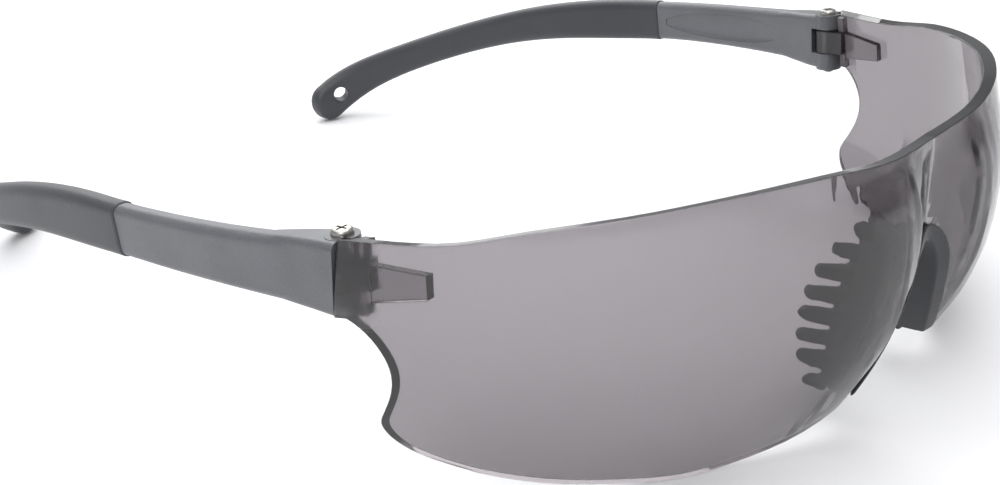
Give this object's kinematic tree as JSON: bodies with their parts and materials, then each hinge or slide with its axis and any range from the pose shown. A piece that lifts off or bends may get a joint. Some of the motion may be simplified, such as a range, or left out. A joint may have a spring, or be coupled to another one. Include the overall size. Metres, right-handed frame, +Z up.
{
  "type": "safety glasses",
  "caption": "Frameless wraparound safety glasses: tinted one-piece lens, soft finger nosepiece, and folding temple arms with rubber tip sleeves and lanyard holes.",
  "frame": {"origin": "centre of the footprint, on the table plane that the lens's lower edge and the two temple tips touch", "axes": "+Z up, -Y the way the wearer looks, +X the wearer's left"},
  "size_m": [0.141, 0.1822, 0.0438],
  "materials": {
    "tinted_lens": "gloss",
    "nose_rubber": "matte",
    "frosted_plastic": "frosted",
    "tip_rubber": "matte",
    "screw_steel": "satin"
  },
  "bodies": {
    "front": {"lens": "tinted_lens", "nosepiece": "nose_rubber"},
    "left_temple": {"left_temple_arm": "frosted_plastic", "left_tip_sleeve": "tip_rubber", "left_hinge_screw": "screw_steel"},
    "right_temple": {"right_temple_arm": "frosted_plastic", "right_tip_sleeve": "tip_rubber", "right_hinge_screw": "screw_steel"}
  },
  "joints": [
    {"name": "left_hinge", "type": "hinge", "parent": "front", "child": "left_temple", "pos_m": [0.0638, -0.03646, 0.03281], "axis": [0, 0.053, 0.9986], "range_deg": [0, 76]},
    {"name": "right_hinge", "type": "hinge", "parent": "front", "child": "right_temple", "pos_m": [-0.0638, -0.03646, 0.03281], "axis": [0, -0.053, -0.9986], "range_deg": [0, 57]}
  ]
}
